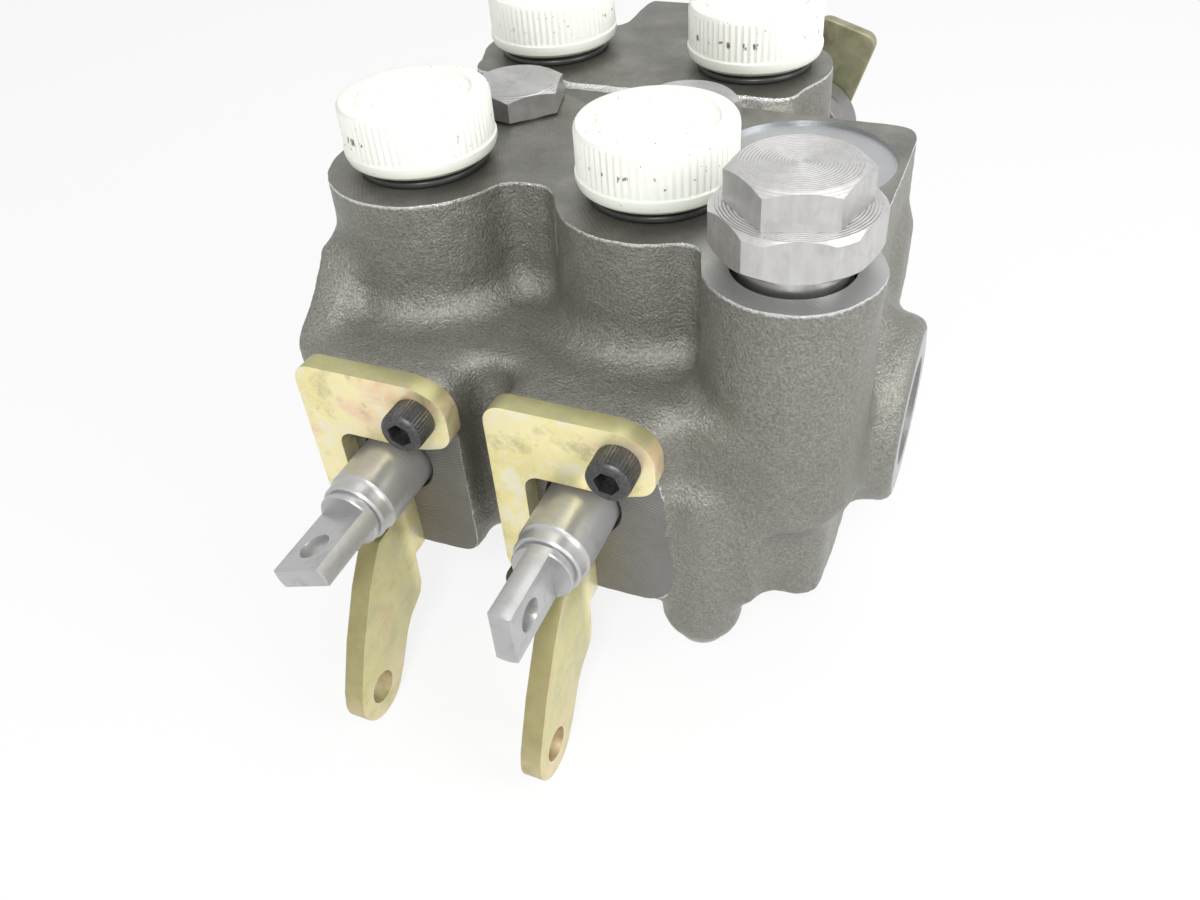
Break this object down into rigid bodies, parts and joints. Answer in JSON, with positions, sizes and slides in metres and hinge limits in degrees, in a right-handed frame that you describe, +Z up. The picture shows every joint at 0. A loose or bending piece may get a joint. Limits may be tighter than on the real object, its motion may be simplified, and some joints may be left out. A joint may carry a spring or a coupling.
{
  "type": "hydraulic auxiliary control valve",
  "caption": "Cast two-spool hydraulic valve with hand lever brackets, spring-centred spools, load checks, a relief valve and plugged work ports.",
  "frame": {"origin": "middle of the four foot holes, on the plane of the foot faces", "axes": "+Z up, out of the work ports; -Y to the operator's ends of the spools; +X to the supply port side"},
  "size_m": [0.1343, 0.2495, 0.1279],
  "materials": {
    "cast_iron": "sand-cast, with milled and ground pads and faces",
    "spool_steel": "ground and polished bar, turned end, milled tang",
    "yellow_zinc": "pressed plate, yellow zinc plated",
    "turned_steel": "turned hexagon bar, plain zinc",
    "relief_steel": "turned hexagon bar, plain zinc",
    "zinc_cap": "die cast, dull grey",
    "spring_steel": "drawn wire",
    "black_oxide": "black oxide, knurled head",
    "white_plastic": "moulded polyethylene, satin",
    "seal_rubber": "moulded"
  },
  "bodies": {
    "housing": {"valve_body": "cast_iron", "left_handle_bracket": "yellow_zinc", "left_front_spool_seal": "seal_rubber", "left_rear_spool_seal": "seal_rubber", "left_end_cap": "zinc_cap", "left_check_plug": "turned_steel", "left_check_plug_oring": "seal_rubber", "left_check_spring": "spring_steel", "right_handle_bracket": "yellow_zinc", "right_front_spool_seal": "seal_rubber", "right_rear_spool_seal": "seal_rubber", "right_end_cap": "zinc_cap", "right_check_plug": "turned_steel", "right_check_plug_oring": "seal_rubber", "right_check_spring": "spring_steel", "bracket_screws": "black_oxide", "end_cap_screws": "black_oxide", "front_left_port_plug": "white_plastic", "front_left_port_plug_oring": "seal_rubber", "front_right_port_plug": "white_plastic", "front_right_port_plug_oring": "seal_rubber", "rear_left_port_plug": "white_plastic", "rear_left_port_plug_oring": "seal_rubber", "rear_right_port_plug": "white_plastic", "rear_right_port_plug_oring": "seal_rubber", "relief_cartridge": "relief_steel", "relief_cap": "relief_steel", "relief_spring": "spring_steel", "relief_oring": "seal_rubber", "rear_strap": "yellow_zinc", "rear_strap_screw": "black_oxide"},
    "left_spring_pack": {"left_front_spring_seat": "turned_steel", "left_rear_spring_seat": "turned_steel", "left_centring_spring": "spring_steel"},
    "left_spool": {"left_spool": "spool_steel", "left_spool_bolt": "turned_steel"},
    "left_check": {"left_check_poppet": "turned_steel"},
    "right_spring_pack": {"right_front_spring_seat": "turned_steel", "right_rear_spring_seat": "turned_steel", "right_centring_spring": "spring_steel"},
    "right_spool": {"right_spool": "spool_steel", "right_spool_bolt": "turned_steel"},
    "right_check": {"right_check_poppet": "turned_steel"},
    "relief": {"relief_poppet": "turned_steel"}
  },
  "joints": [
    {"name": "left_spool_slide", "type": "slide", "parent": "housing", "child": "left_spring_pack", "axis": [0, 1, 0], "range_m": [-0.00635, 0.00635], "stiffness_N_per_m": 6000},
    {"name": "left_spool_turn", "type": "hinge", "parent": "left_spring_pack", "child": "left_spool", "pos_m": [-0.024, 0, 0.042], "axis": [0, 1, 0], "continuous": true},
    {"name": "right_spool_slide", "type": "slide", "parent": "housing", "child": "right_spring_pack", "axis": [0, 1, 0], "range_m": [-0.00635, 0.00635], "stiffness_N_per_m": 6000},
    {"name": "right_spool_turn", "type": "hinge", "parent": "right_spring_pack", "child": "right_spool", "pos_m": [0.0212, 0, 0.042], "axis": [0, 1, 0], "continuous": true},
    {"name": "left_check_lift", "type": "slide", "parent": "housing", "child": "left_check", "axis": [0, 0, 1], "range_m": [0, 0.003], "stiffness_N_per_m": 500, "springref_m": -0.004, "deforming": ["left_check_spring"]},
    {"name": "right_check_lift", "type": "slide", "parent": "housing", "child": "right_check", "axis": [0, 0, 1], "range_m": [0, 0.003], "stiffness_N_per_m": 500, "springref_m": -0.004, "deforming": ["right_check_spring"]},
    {"name": "relief_lift", "type": "slide", "parent": "housing", "child": "relief", "axis": [0, 0, 1], "range_m": [0, 0.002], "stiffness_N_per_m": 2000, "springref_m": -0.003, "deforming": ["relief_spring"]}
  ]
}
